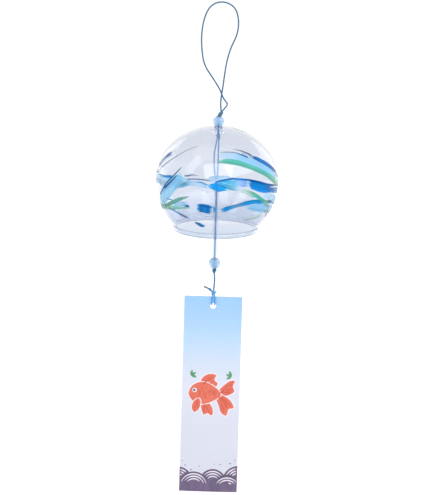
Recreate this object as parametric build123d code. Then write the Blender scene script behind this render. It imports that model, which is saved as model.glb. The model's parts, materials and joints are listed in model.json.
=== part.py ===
from build123d import *
import os
from math import acos, degrees, pi, radians, sin, sqrt, tan

# A furin: a blown-glass wind bell on a doubled cord, with a glass tube for a clapper and a paper strip.
# Lengths are in millimetres. The bell hangs plumb with +Z up, and the strip's printed face looks along -Y.
# The origin is the point inside the top of the hanging loop where a hook bears.

# Cord
cord_diameter = 1.0
strand_gap = 0.05
turning_gap = 0.1
arc_share = 0.45

# Glass bell
equator_drop = 119.4
bell_diameter = 80.0
dome_height = 35.5
skirt_depth = 42.0
bell_wall = 1.3
neck_diameter = 54.4
lip_diameter = 55.4
lip_bore = 52.0
lip_flare_height = 0.9
lip_height = 2.8
crown_hole = 5.0
crown_ring_diameter = 11.4
crown_rise = 0.2
crown_swell = 0.45
crown_thickness = 2.0

# Beads
bead_diameter = 7.6
bead_bore = 2.4
bead_edge_round = 0.15
bead_rock_gap = 0.55

# Clear ring under the crown
stopper_diameter = 7.3
stopper_height = 2.6
stopper_bore = 2.4
stopper_round = 0.7
stopper_rock_gap = 0.45

# Knots
top_knot_diameter = 3.4
inner_knot_diameter = 3.0
inner_knot_rock_gap = 0.56
lower_knot_diameter = 3.2
tie_knot_diameter = 2.8
tie_knot_drop = 195.4

# Clapper
lower_bead_drop = 175.3
tube_diameter = 4.8
tube_bore = 3.2
tube_length = 46.5
tube_end_round = 0.3

# Paper strip
strip_width = 38.0
strip_length = 132.0
strip_thickness = 0.4
strip_top_drop = 197.8
strip_hole = 4.0
strip_hole_inset = 6.4

# Tie
tie_loop_gap = 0.15
tie_loop_spread = 1.3
strand_spread = 1.0
hole_gap = 0.07

# Heights and radii that follow from the sizes above
cord_radius = cord_diameter / 2
strand_offset = cord_radius + strand_gap / 2
bead_radius = bead_diameter / 2
bell_radius = bell_diameter / 2
equator_z = -equator_drop
crown_top_z = equator_z + dome_height + crown_rise
crown_under_z = crown_top_z - crown_thickness


def seat_height(ball_diameter, hole_diameter):
    """How far a ball's centre stands over the edge of the round hole that it rests in."""
    return sqrt((ball_diameter / 2) ** 2 - (hole_diameter / 2) ** 2)


top_bead_z = crown_top_z + seat_height(bead_diameter, crown_hole) + bead_rock_gap
bead_bore_edge = seat_height(bead_diameter, bead_bore)
top_knot_z = top_bead_z + bead_bore_edge + seat_height(top_knot_diameter, bead_bore) + turning_gap
stopper_top_z = crown_under_z - stopper_rock_gap
stopper_bottom_z = stopper_top_z - stopper_height
inner_knot_z = stopper_bottom_z - seat_height(inner_knot_diameter, stopper_bore) - inner_knot_rock_gap
lower_bead_z = -lower_bead_drop
tube_bottom_z = lower_bead_z + seat_height(bead_diameter, tube_bore) + turning_gap
lower_knot_z = lower_bead_z - bead_bore_edge - seat_height(lower_knot_diameter, bead_bore) - turning_gap
tie_knot_z = -tie_knot_drop
strip_top_z = -strip_top_drop
strip_hole_z = strip_top_z - strip_hole_inset
loop_reach = strip_hole / 2 - hole_gap - cord_radius
loop_bottom_z = strip_hole_z + sqrt(loop_reach**2 - strand_spread**2)


def knot_clearance(knot_diameter):
    """Where a strand ends short of the centre of a knot that it turns about."""
    return knot_diameter / 2 + turning_gap


# The hanging loop: up from the top knot past a kink, round the top and down again behind the first leg
loop_foot_z = top_knot_z + top_knot_diameter / 2
loop_route = [
    (1.30, -0.55, loop_foot_z - 0.37),
    (2.65, -0.45, -71.7),
    (4.85, -0.50, -68.3),
    (2.60, -0.70, -65.9),
    (1.00, -0.75, -63.3),
    (0.10, -0.75, -60.6),
    (-1.50, -0.60, -57.3),
    (-5.20, -0.3, -51.6),
    (-11.3, 0.2, -42.6),
    (-13.1, 0.3, -31.5),
    (-13.3, 0.2, -20.5),
    (-11.8, 0.0, -11.0),
    (-8.6, 0.0, -3.2),
    (-3.2, 0.0, cord_radius),
    (3.6, 0.0, cord_radius),
    (9.8, 0.1, -3.7),
    (11.8, 0.2, -12.7),
    (10.7, 0.2, -21.9),
    (6.35, 0.2, -30.4),
    (3.55, 0.3, -40.2),
    (2.05, 0.5, -49.6),
    (1.20, 0.6, -57.3),
    (0.20, 0.7, -63.6),
    (-0.10, 0.7, -67.5),
    (0.12, 0.6, -70.7),
    (1.00, 0.55, loop_foot_z + 0.08),
]

# The clapper's two strands: out of the inner knot, apart, and together again down the tube and the bead
strand_top_z = inner_knot_z - knot_clearance(inner_knot_diameter)
strand_foot_z = lower_knot_z + knot_clearance(lower_knot_diameter)
right_strand_route = [
    (strand_offset, 0, strand_top_z),
    (0.80, 0.00, -95.6),
    (1.40, 0.10, -102.8),
    (1.30, 0.10, -110.6),
    (0.80, 0.05, -118.2),
    (strand_offset, 0, -124.0),
    (strand_offset, 0, strand_foot_z),
]
left_strand_route = [
    (-strand_offset, 0, strand_top_z),
    (-0.95, 0.00, -95.9),
    (-1.35, -0.10, -101.6),
    (-1.25, -0.10, -109.2),
    (-0.75, -0.05, -117.0),
    (-strand_offset, 0, -124.0),
    (-strand_offset, 0, strand_foot_z),
]

# The strip's cord, one strand behind the other
strip_cord_top_z = lower_knot_z - knot_clearance(lower_knot_diameter)
strip_cord_foot_z = tie_knot_z + knot_clearance(tie_knot_diameter)
strip_cord_route = [
    (0.00, strip_cord_top_z),
    (0.45, -185.4),
    (0.30, -189.8),
    (0.00, strip_cord_foot_z),
]

# The tie's loop through the strip's hole, as its right-hand strand, and its two cut ends
tie_loop_top_z = tie_knot_z - tie_knot_diameter / 2 - tie_loop_gap
tie_loop_route = [
    (0.55, -0.75, tie_loop_top_z),
    (strand_spread, -tie_loop_spread, -199.3),
    (strand_spread, -tie_loop_spread, loop_bottom_z),
    (strand_spread, tie_loop_spread, loop_bottom_z),
    (strand_spread, tie_loop_spread, -199.3),
    (0.55, 0.75, tie_loop_top_z),
]
long_tail_route = [
    (-1.05, 0.25, tie_knot_z + 0.70),
    (-2.40, 0.15, tie_knot_z + 1.75),
    (-3.70, -0.05, tie_knot_z + 2.95),
    (-5.10, -0.20, tie_knot_z + 3.60),
    (-6.50, -0.25, tie_knot_z + 4.10),
]
short_tail_route = [
    (-0.50, -0.90, tie_knot_z + 0.60),
    (-1.20, -1.30, tie_knot_z + 1.50),
    (-1.95, -1.35, tie_knot_z + 2.55),
    (-2.45, -1.30, tie_knot_z + 3.45),
]


def cord(name, points):
    """A round tube along straight runs that are joined by the largest arcs they allow."""
    places = [Vector(*point) for point in points]
    runs = [end - start for start, end in zip(places, places[1:])]
    radii = []
    for before, after in zip(runs, runs[1:]):
        half_turn = radians(before.get_angle(after)) / 2
        radii.append(arc_share * min(before.length, after.length) / tan(half_turn))
    path = FilletPolyline(*places, radius=radii)
    section = Plane(origin=path @ 0, z_dir=path % 0) * Circle(cord_radius)
    tube = sweep(section, path=path)
    expected = pi * cord_radius**2 * path.length
    smallest = min(radii) / cord_diameter
    print(
        f"{name}: length {path.length:.1f}, arcs from {min(radii):.2f} mm ({smallest:.1f} diameters),"
        f" volume {tube.volume / expected:.4f} of section times length"
    )
    print(f"  radii {[round(radius, 2) for radius in radii]}")
    return tube


def knot(diameter, height):
    return Pos(0, 0, height) * Sphere(diameter / 2)


def bead(height):
    """A ball with a bore along Z, whose edges are slightly rounded."""
    ball = Sphere(bead_radius) - Cylinder(bead_bore / 2, bead_diameter)
    rims = [edge for edge in ball.edges().filter_by(GeomType.CIRCLE) if edge.radius < bead_bore]
    return Pos(0, 0, height) * fillet(rims, bead_edge_round)


def tube(outer, bore, length, edge_round, height):
    """A ring or pipe along Z with rounded ends, centred on the height."""
    pipe = Cylinder(outer / 2, length) - Cylinder(bore / 2, length)
    rims = [edge for edge in pipe.edges().filter_by(GeomType.CIRCLE) if edge.radius > (outer + bore) / 4]
    return Pos(0, 0, height) * fillet(rims, edge_round)


def glass_bell():
    """The bell's wall, turned from its profile: crown ring, dome, skirt and full-round lip."""
    ring_radius = crown_ring_diameter / 2
    hole_radius = crown_hole / 2
    neck_radius = neck_diameter / 2
    lip_radius = lip_diameter / 2
    bore_radius = lip_bore / 2
    inner_radius = bell_radius - bell_wall
    inner_dome = dome_height - bell_wall
    inner_skirt = skirt_depth - bell_wall

    def ellipse_angle(radius, of_radius):
        return degrees(acos(radius / of_radius))

    outer_ring_z = equator_z + dome_height * sin(radians(ellipse_angle(ring_radius, bell_radius)))
    inner_ring_z = equator_z + inner_dome * sin(radians(ellipse_angle(ring_radius, inner_radius)))
    neck_z = equator_z - skirt_depth * sin(radians(ellipse_angle(neck_radius, bell_radius)))
    bore_top_z = equator_z - inner_skirt * sin(radians(ellipse_angle(bore_radius, inner_radius)))
    rim_z = neck_z - lip_height
    lip_round = (lip_radius - bore_radius) / 2
    swell_middle = ((hole_radius + ring_radius) / 2, (crown_top_z + outer_ring_z) / 2 + crown_swell)
    centre = (0, equator_z)
    outer_end = ellipse_angle(ring_radius, bell_radius)
    inner_end = ellipse_angle(ring_radius, inner_radius)
    outer_start = ellipse_angle(neck_radius, bell_radius)
    inner_start = ellipse_angle(bore_radius, inner_radius)
    profile = [
        ThreePointArc((hole_radius, crown_top_z), swell_middle, (ring_radius, outer_ring_z)),
        EllipticalCenterArc(centre, bell_radius, dome_height, outer_end, arc_size=-outer_end),
        EllipticalCenterArc(centre, bell_radius, skirt_depth, arc_size=-outer_start),
        Line((neck_radius, neck_z), (lip_radius, neck_z - lip_flare_height)),
        Line((lip_radius, neck_z - lip_flare_height), (lip_radius, rim_z + lip_round)),
        ThreePointArc(
            (lip_radius, rim_z + lip_round),
            (lip_radius - lip_round, rim_z),
            (bore_radius, rim_z + lip_round),
        ),
        Line((bore_radius, rim_z + lip_round), (bore_radius, bore_top_z)),
        EllipticalCenterArc(centre, inner_radius, inner_skirt, arc_size=-inner_start),
        EllipticalCenterArc(centre, inner_radius, inner_dome, inner_end, arc_size=-inner_end),
        Line((ring_radius, inner_ring_z), (hole_radius, crown_under_z)),
        Line((hole_radius, crown_under_z), (hole_radius, crown_top_z)),
    ]
    wall = make_face(Curve() + profile)
    print(f"glass bell: rim at {rim_z:.2f}, neck at {neck_z:.2f}, crown hole centre {crown_hole_z:.2f}")
    return revolve(Plane.XZ * wall, Axis.Z)


def paper_strip():
    card = Box(strip_width, strip_thickness, strip_length, align=(Align.CENTER, Align.CENTER, Align.MAX))
    hole = Rot(90, 0, 0) * Cylinder(strip_hole / 2, strip_width)
    return Pos(0, 0, strip_top_z) * card - Pos(0, 0, strip_hole_z) * hole


def strip_cord():
    """The two strands, one behind the other."""
    front = [(x, -strand_offset, z) for x, z in strip_cord_route]
    back = [(x, strand_offset, z) for x, z in strip_cord_route]
    return [cord("strip cord", front), cord("strip cord", back)]


def neck_strands():
    top = top_knot_z - knot_clearance(top_knot_diameter)
    foot = inner_knot_z + knot_clearance(inner_knot_diameter)
    strand = Cylinder(cord_radius, top - foot, align=(Align.CENTER, Align.CENTER, Align.MAX))
    print(f"neck strands: {top - foot:.1f} long, straight")
    return [Pos(0, offset, top) * strand for offset in (-strand_offset, strand_offset)]


def tie_loop():
    """The loop's two strands, side by side and mirrored."""
    mirrored = [(-x, y, z) for x, y, z in tie_loop_route]
    return [cord("tie loop", mirrored), cord("tie loop", tie_loop_route)]


crown_hole_z = (crown_top_z + crown_under_z) / 2
tube_middle_z = tube_bottom_z + tube_length / 2
stopper_middle_z = (stopper_top_z + stopper_bottom_z) / 2
print(f"pivots: top knot {top_knot_z:.3f}, crown hole {crown_hole_z:.3f}, inner knot {inner_knot_z:.3f},")
print(f"  lower knot {lower_knot_z:.3f}, tie knot {tie_knot_z:.3f}, strip hole {strip_hole_z:.3f}")
print(f"beads at {top_bead_z:.3f} and {lower_bead_z:.3f}, tube from {tube_bottom_z:.3f} up {tube_length}")

pieces = {
    "hanging_loop": cord("hanging loop", loop_route),
    "top_knot": knot(top_knot_diameter, top_knot_z),
    "top_bead": bead(top_bead_z),
    "neck_strands": neck_strands(),
    "glass_bell": glass_bell(),
    "crown_stopper": tube(stopper_diameter, stopper_bore, stopper_height, stopper_round, stopper_middle_z),
    "inner_knot": knot(inner_knot_diameter, inner_knot_z),
    "clapper_strand_left": cord("left strand", left_strand_route),
    "clapper_strand_right": cord("right strand", right_strand_route),
    "clapper_tube": tube(tube_diameter, tube_bore, tube_length, tube_end_round, tube_middle_z),
    "lower_bead": bead(lower_bead_z),
    "lower_knot": knot(lower_knot_diameter, lower_knot_z),
    "strip_cord": strip_cord(),
    "tie_knot": knot(tie_knot_diameter, tie_knot_z),
    "tie_loop": tie_loop(),
    "long_tail": cord("long tail", long_tail_route),
    "short_tail": cord("short tail", short_tail_route),
    "paper_strip": paper_strip(),
}

os.makedirs("parts", exist_ok=True)
for name, shape in pieces.items():
    solids = shape if isinstance(shape, list) else [shape]
    export_step(Compound(children=[s for solid in solids for s in solid.solids()]), f"parts/{name}.step")
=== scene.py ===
import json
import random
from itertools import accumulate
from math import acos, asin, cos, degrees, hypot, pi, radians, sin, sqrt

import bmesh
import bpy
from mathutils import Matrix, Vector, geometry, noise
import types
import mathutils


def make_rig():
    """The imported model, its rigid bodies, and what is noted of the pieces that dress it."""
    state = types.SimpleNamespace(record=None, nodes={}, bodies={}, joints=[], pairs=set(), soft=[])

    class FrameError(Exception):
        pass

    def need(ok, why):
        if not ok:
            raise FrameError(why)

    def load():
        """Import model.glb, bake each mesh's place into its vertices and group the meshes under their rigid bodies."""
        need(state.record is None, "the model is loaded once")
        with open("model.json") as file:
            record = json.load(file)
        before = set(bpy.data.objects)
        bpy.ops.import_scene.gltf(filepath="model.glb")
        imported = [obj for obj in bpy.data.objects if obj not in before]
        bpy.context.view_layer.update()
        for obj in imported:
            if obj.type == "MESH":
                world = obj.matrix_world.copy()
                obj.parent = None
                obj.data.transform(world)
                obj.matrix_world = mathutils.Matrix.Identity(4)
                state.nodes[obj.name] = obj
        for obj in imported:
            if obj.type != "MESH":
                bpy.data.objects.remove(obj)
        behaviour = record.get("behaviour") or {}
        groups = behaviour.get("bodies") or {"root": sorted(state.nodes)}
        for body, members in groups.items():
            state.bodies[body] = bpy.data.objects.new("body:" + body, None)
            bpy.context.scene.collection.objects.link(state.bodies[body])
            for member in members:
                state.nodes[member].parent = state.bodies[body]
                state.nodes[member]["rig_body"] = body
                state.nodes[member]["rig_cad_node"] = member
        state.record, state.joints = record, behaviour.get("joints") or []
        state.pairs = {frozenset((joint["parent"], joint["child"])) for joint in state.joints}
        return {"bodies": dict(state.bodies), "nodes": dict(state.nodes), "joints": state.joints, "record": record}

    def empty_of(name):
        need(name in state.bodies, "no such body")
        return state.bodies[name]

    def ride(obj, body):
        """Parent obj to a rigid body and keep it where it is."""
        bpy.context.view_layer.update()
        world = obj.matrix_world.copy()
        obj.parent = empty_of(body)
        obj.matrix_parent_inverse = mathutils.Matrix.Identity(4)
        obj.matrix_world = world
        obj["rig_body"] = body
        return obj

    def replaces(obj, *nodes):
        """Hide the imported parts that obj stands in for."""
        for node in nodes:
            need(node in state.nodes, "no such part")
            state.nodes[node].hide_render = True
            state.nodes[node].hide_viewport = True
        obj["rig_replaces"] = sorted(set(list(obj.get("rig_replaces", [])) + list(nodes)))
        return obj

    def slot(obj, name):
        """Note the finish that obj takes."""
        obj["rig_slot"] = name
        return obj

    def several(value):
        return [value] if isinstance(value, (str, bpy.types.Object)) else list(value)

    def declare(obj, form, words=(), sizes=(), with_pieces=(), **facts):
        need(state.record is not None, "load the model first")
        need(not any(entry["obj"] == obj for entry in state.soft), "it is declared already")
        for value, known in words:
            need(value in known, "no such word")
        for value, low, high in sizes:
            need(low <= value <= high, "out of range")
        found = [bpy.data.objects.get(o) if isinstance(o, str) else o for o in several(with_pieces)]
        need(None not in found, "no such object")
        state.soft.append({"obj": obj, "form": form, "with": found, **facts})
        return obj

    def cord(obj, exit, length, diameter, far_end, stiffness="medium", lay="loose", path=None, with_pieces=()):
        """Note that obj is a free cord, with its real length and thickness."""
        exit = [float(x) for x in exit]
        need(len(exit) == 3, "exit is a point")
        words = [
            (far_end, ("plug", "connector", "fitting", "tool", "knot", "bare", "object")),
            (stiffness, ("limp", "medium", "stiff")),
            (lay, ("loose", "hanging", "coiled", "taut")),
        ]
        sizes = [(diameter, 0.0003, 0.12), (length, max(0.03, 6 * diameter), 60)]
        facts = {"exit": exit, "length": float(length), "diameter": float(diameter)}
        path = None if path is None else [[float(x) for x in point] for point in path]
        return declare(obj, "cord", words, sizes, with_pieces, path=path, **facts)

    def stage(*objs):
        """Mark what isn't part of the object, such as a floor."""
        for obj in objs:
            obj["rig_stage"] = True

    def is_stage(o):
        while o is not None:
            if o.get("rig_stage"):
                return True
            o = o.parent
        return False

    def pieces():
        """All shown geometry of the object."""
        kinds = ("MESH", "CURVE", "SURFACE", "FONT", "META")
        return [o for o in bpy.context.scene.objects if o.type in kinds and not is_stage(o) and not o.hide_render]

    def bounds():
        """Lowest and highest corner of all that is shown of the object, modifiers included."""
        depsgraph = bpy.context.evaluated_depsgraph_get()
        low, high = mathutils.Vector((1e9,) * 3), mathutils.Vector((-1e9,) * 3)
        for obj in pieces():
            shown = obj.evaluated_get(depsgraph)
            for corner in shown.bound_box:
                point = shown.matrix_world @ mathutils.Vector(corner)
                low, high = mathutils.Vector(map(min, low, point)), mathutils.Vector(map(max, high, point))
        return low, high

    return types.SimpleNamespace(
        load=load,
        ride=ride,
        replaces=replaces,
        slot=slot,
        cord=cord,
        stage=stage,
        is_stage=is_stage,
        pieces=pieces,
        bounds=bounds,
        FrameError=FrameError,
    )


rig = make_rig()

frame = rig.load()
cad_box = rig.bounds()
MM = 0.001


def metres(point):
    return Vector(point) * MM


def numbers(text):
    """A table's rows of numbers, which commas part."""
    return [tuple(map(float, row.split())) for row in text.split(",")]


def srgb(*colour):
    """A colour written in 0 to 255 as the linear one that shaders take."""
    shares = [value / 255 for value in colour]
    return *(v / 12.92 if v <= 0.04045 else ((v + 0.055) / 1.055) ** 2.4 for v in shares), 1.0


def in_scene(name, data):
    """An object of the data, in the scene."""
    made = bpy.data.objects.new(name, data)
    bpy.context.scene.collection.objects.link(made)
    return made


# Camera

VIEW_CENTRE = (1.70, 0.0, -164.85)
VIEW_ELEVATION = 12.9
VIEW_ROLL = 1.68
VIEW_DISTANCE = 8.0
VIEW_HEIGHT = 0.3247


def make_camera():
    data = bpy.data.cameras.new("camera")
    data.sensor_width = 36
    data.lens = data.sensor_width * VIEW_DISTANCE / VIEW_HEIGHT
    data.clip_end = 100
    camera = in_scene("camera", data)
    tilt, roll = radians(VIEW_ELEVATION), radians(VIEW_ROLL)
    side, up = Vector((1, 0, 0)), Vector((0, sin(tilt), cos(tilt)))
    forward = Vector((0, cos(tilt), -sin(tilt)))
    right = side * cos(roll) + up * sin(roll)
    top = up * cos(roll) - side * sin(roll)
    place = metres(VIEW_CENTRE) - forward * VIEW_DISTANCE
    camera.matrix_world = Matrix.Translation(place) @ Matrix((right, top, -forward)).transposed().to_4x4()
    bpy.context.scene.camera = camera


make_camera()


# Materials

def combined(tree, operation, *values):
    """What a Math node makes of its values, which are outputs of other nodes or plain numbers."""
    node = tree.nodes.new("ShaderNodeMath")
    node.operation = operation
    for socket, value in zip(node.inputs, values):
        if isinstance(value, float):
            socket.default_value = value
        else:
            tree.links.new(value, socket)
    return node.outputs[0]


def mapped(tree, value, source=(0, 1), target=(0, 1)):
    """The value, taken from one range to another and held at its ends."""
    node = tree.nodes.new("ShaderNodeMapRange")
    for name, end in zip(("From Min", "From Max", "To Min", "To Max"), (*source, *target)):
        node.inputs[name].default_value = end
    tree.links.new(value, node.inputs["Value"])
    return node.outputs["Result"]


class Shader:
    """A material in the making: its Principled shader and short ways to add nodes before it."""

    def __init__(self, name, **values):
        self.material = bpy.data.materials.new(name)
        self.material.use_nodes = True
        self.tree = self.material.node_tree
        self.principled = self.tree.nodes["Principled BSDF"]
        self.set(self.principled, **values)

    def set(self, node, **values):
        for name, value in values.items():
            node.inputs[name.replace("_", " ")].default_value = value
        return node

    def node(self, kind, **values):
        return self.set(self.tree.nodes.new("ShaderNode" + kind), **values)

    def link(self, output, target):
        self.tree.links.new(output, target)

    def feed(self, output, socket):
        self.link(output, self.principled.inputs[socket])

    def noise(self, stretch, scale, detail, roughness=0.5, distortion=0.0, kind="Object"):
        """A noise over coordinates of one kind, stretched in their three directions."""
        mapping = self.node("Mapping", Scale=stretch)
        self.link(self.node("TexCoord").outputs[kind], mapping.inputs["Vector"])
        made = self.node("TexNoise", Scale=scale, Detail=detail, Roughness=roughness, Distortion=distortion)
        self.link(mapping.outputs["Vector"], made.inputs["Vector"])
        return made.outputs[0]

    def downwards(self, top, bottom, grain, share):
        """From 0 at one height to 1 at a lower one, in millimetres, with a share of a noise added."""
        where = self.node("SeparateXYZ")
        self.link(self.node("TexCoord").outputs["Object"], where.inputs["Vector"])
        down = mapped(self.tree, where.outputs["Z"], (top * MM, bottom * MM))
        return combined(self.tree, "MULTIPLY_ADD", grain, share, down)

    def colour(self, factor, stops):
        """The base colour, from a ramp of positions and colours in 0 to 255."""
        made = self.node("ValToRGB")
        ends = made.color_ramp.elements
        while len(ends) < len(stops):
            ends.new(0.5)
        for end, (position, colour) in zip(ends, stops):
            end.position, end.color = position, srgb(*colour)
        self.link(factor, made.inputs["Fac"])
        self.feed(made.outputs["Color"], "Base Color")

    def roughness(self, factor, low, high):
        self.feed(mapped(self.tree, factor, target=(low, high)), "Roughness")

    def bump(self, height, strength, distance):
        made = self.node("Bump", Strength=strength, Distance=distance)
        self.link(height, made.inputs["Height"])
        self.feed(made.outputs["Normal"], "Normal")


EVEN = (1, 1, 1)
CARD_FIBRE = (1, 1, 0.35), 1400, 4, 0.6  # paper fibres, longer along the strip than across it


def textured(name, settings, colours, bump, **values):
    """A material whose colour and relief follow one noise."""
    made = Shader(name, **values)
    grain = made.noise(*settings)
    made.colour(grain, colours)
    made.bump(grain, *bump)
    return made.material


def cord_material(name, dark, middle, light):
    """Twisted cotton-like cord: light blue, darker in its fibres, and softly lit at the edges."""
    return textured(name, ((1, 1, 0.45), 5200, 3), [(0.25, dark), (0.5, middle), (0.78, light)],
                    (0.5, 0.0001), Roughness=0.75, Sheen_Weight=0.25, Sheen_Roughness=0.4)


def glass_material(name, waves, bump, tint, density=0.0, depth=None, **values):
    """Clear glass with the slow waves of drawing or blowing, greyer where one looks along a dense wall.
    The tint follows those waves, or else the height between the two ends of a depth."""
    made = Shader(name, Transmission_Weight=1.0, **values)
    slow = made.noise(EVEN, waves, 1)
    made.colour(made.downwards(*depth, slow, 0.06) if depth else slow, tint)
    made.bump(slow, bump, 0.0006)
    if density:
        grey = made.node("VolumeAbsorption", Color=(0.70, 0.74, 0.82, 1.0), Density=density)
        made.link(grey.outputs["Volume"], made.tree.nodes["Material Output"].inputs["Volume"])
    return made.material


def bead_material():
    """Moulded bead of cloudy light blue glass."""
    made = Shader("bead_glass", Transmission_Weight=0.55, IOR=1.4, Coat_Weight=0.7, Coat_Roughness=0.04)
    cloud = made.noise(EVEN, 260, 2)
    made.colour(cloud, [(0.3, (176, 217, 255)), (0.7, (204, 233, 255))])
    made.roughness(made.noise(EVEN, 900, 2), 0.26, 0.34)
    made.bump(cloud, 0.03, 0.0002)
    return made.material


def paint_material():
    """Enamel brushed on the glass. Each bristle's colour is in the mesh, and grain runs along the stroke."""
    made = Shader("brushed_enamel", Roughness=0.5, Specular_IOR_Level=0.22, Transmission_Weight=0.5, IOR=1.08)
    pigment = made.node("Attribute")
    pigment.attribute_name = "pigment"
    grain = made.noise((60, 2600, 1), 1.0, 2, kind="UV")
    shaded = made.node("HueSaturation")
    made.link(pigment.outputs["Color"], shaded.inputs["Color"])
    made.link(mapped(made.tree, grain, target=(0.88, 1.1)), shaded.inputs["Value"])
    made.feed(shaded.outputs["Color"], "Base Color")
    made.bump(grain, 0.25, 0.00005)
    return made.material


def card_material():
    """The strip's card: fibres, and a printed wash from sky blue down to pale lavender."""
    made = Shader("card_front")
    fibre = made.noise(*CARD_FIBRE)
    made.colour(made.downwards(STRIP_TOP, STRIP_BOTTOM, fibre, 0.05), [
        (0.03, (164, 209, 252)), (0.14, (174, 214, 253)), (0.24, (192, 222, 252)), (0.36, (214, 228, 249)),
        (0.48, (228, 231, 247)), (0.7, (222, 226, 241)), (1.0, (222, 223, 240)),
    ])
    made.roughness(fibre, 0.48, 0.66)
    made.bump(fibre, 0.16, 0.00012)
    return made.material


def ink_material(name, dark, light, scale=260):
    """Printed ink, a little uneven as a brushed original is."""
    made = Shader(name)
    wash = made.noise((1, 1, 0.6), scale, 3, 0.6, 0.4)
    made.colour(wash, [(0.3, dark), (0.7, light)])
    made.roughness(wash, 0.42, 0.6)
    made.bump(made.noise(*CARD_FIBRE), 0.12, 0.0001)
    return made.material


STRIP_TOP, STRIP_BOTTOM, STRIP_HALF = -197.8, -329.8, 19.0

CORD = cord_material("cord_fibre", (22, 76, 120), (50, 124, 176), (106, 172, 216))
CORD_LOOP = cord_material("cord_loop_fibre", (18, 66, 94), (40, 108, 146), (86, 152, 190))
# A lighter copy of the cord's colours for its stretches inside the bell: painted light, standing in for the light that
# the glass keeps off them.
CORD_LIT_INSIDE = cord_material("cord_lit_inside_fibre", (92, 154, 224), (136, 190, 244), (186, 220, 252))
KNOT = cord_material("cord_knot_fibre", (34, 76, 106), (72, 122, 160), (130, 176, 210))
CORD_TIE = cord_material("cord_tie_fibre", (30, 104, 164), (78, 174, 240), (148, 220, 255))
CORD_END = textured("cord_end_fibre", (EVEN, 5200, 3), [(0.25, (36, 66, 80)), (0.75, (84, 116, 132))],
                    (0.5, 0.0001), Roughness=0.85, Sheen_Weight=0.2)
BELL_GLASS = glass_material("blown_glass", 55, 0.12, [
    (0.05, (231, 234, 241)), (0.5, (233, 236, 242)), (0.79, (226, 231, 241)), (0.87, (209, 213, 227)),
    (0.94, (198, 209, 225)),
], 32.0, (-83.7, -153.0), Roughness=0.0, IOR=1.5)
TUBE_GLASS = glass_material("drawn_glass", 160, 0.06, [(0.2, (236, 242, 248)), (0.8, (242, 246, 250))], 20.0,
                            Roughness=0.0, IOR=1.45)
RING_GLASS = glass_material("clear_ring", 400, 0.05, [(0.2, (236, 241, 254)), (0.8, (244, 247, 255))],
                            Roughness=0.18, IOR=1.22)
BEAD = bead_material()
CARD = card_material()
CARD_BACK = textured("card_back", CARD_FIBRE, [(0.2, (226, 227, 236)), (0.8, (241, 241, 246))],
                     (0.2, 0.00012), Roughness=0.7)


# Meshes

def riding(name, data, body, slot=None, replaces=()):
    """A mesh as a piece in the scene that rides on a body."""
    piece = in_scene(name, data)
    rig.ride(piece, body)
    if slot:
        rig.slot(piece, slot)
    if replaces:
        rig.replaces(piece, *replaces)
    return piece


def new_piece(name, vertices, faces, material, body, slot=None, replaces=(), uvs=None):
    """A smooth piece from vertices in metres and faces."""
    mesh = bpy.data.meshes.new(name)
    mesh.from_pydata(vertices, [], faces)
    mesh.materials.append(material)
    mesh.shade_smooth()
    if uvs:
        layer = mesh.uv_layers.new(name="along")
        for loop in mesh.loops:
            layer.data[loop.index].uv = uvs[loop.vertex_index]
    mesh.validate()
    mesh.update()
    return riding(name, mesh, body, slot, replaces)


def from_bmesh(mesh, name, *materials):
    """The finished mesh with its materials."""
    data = bpy.data.meshes.new(name)
    mesh.to_mesh(data)
    mesh.free()
    for material in materials:
        data.materials.append(material)
    return data


def nurbs_line(route):
    """Points along the NURBS spline that has the route's points, in millimetres, as its control points."""
    curve = bpy.data.curves.new("route", "CURVE")
    curve.dimensions = "3D"
    spline = curve.splines.new("NURBS")
    spline.points.add(len(route) - 1)
    for point, place in zip(spline.points, route):
        point.co = (*metres(place), 1)
    spline.order_u = 3
    spline.use_endpoint_u = True
    spline.resolution_u = 24
    holder = in_scene("route", curve)
    bpy.context.view_layer.update()
    mesh = bpy.data.meshes.new_from_object(holder)
    line = [v.co.copy() for v in mesh.vertices]
    bpy.data.meshes.remove(mesh)
    bpy.data.objects.remove(holder)
    bpy.data.curves.remove(curve)
    return line


def lengths_along(line):
    """The line's length up to each of its points."""
    return list(accumulate(((b - a).length for a, b in zip(line, line[1:])), initial=0.0))


def evenly(line, step):
    """The line again, with its points one step apart."""
    lengths = lengths_along(line)
    count = max(2, round(lengths[-1] / step))
    result, index = [], 0
    for i in range(count + 1):
        goal = lengths[-1] * i / count
        while index < len(line) - 2 and lengths[index + 1] < goal:
            index += 1
        span = lengths[index + 1] - lengths[index]
        share = (goal - lengths[index]) / span if span > 0 else 0
        result.append(line[index].lerp(line[index + 1], share))
    return result


def frames(line):
    """Two directions across the line at each point, carried along it without twisting."""
    last = len(line) - 1
    tangents = [(line[min(i + 1, last)] - line[max(i - 1, 0)]).normalized() for i in range(last + 1)]
    across = tangents[0].orthogonal().normalized()
    result = []
    for tangent in tangents:
        across = (across - tangent * across.dot(tangent)).normalized()
        result.append((across, tangent.cross(across)))
    return result


def tube_mesh(line, radii, sides, vertices, faces):
    """Adds a closed round tube along the line to the lists."""
    first = len(vertices)
    for place, (u, v), radius in zip(line, frames(line), radii):
        for k in range(sides):
            turn = 2 * pi * k / sides
            vertices.append(place + (u * cos(turn) + v * sin(turn)) * radius)
    for i in range(len(line) - 1):
        for k in range(sides):
            a, b = first + i * sides + k, first + i * sides + (k + 1) % sides
            faces.append((a, b, b + sides, a + sides))
    last = first + (len(line) - 1) * sides
    faces += [tuple(range(first, first + sides))[::-1], tuple(range(last, last + sides))]


PLIES, PLY_SIDES = 3, 7
PLY_RADIUS = 0.27 * MM
PLY_SPREAD = 0.25 * MM
PLY_PITCH = 2.6 * MM
PLY_STEP = 0.24 * MM


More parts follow.
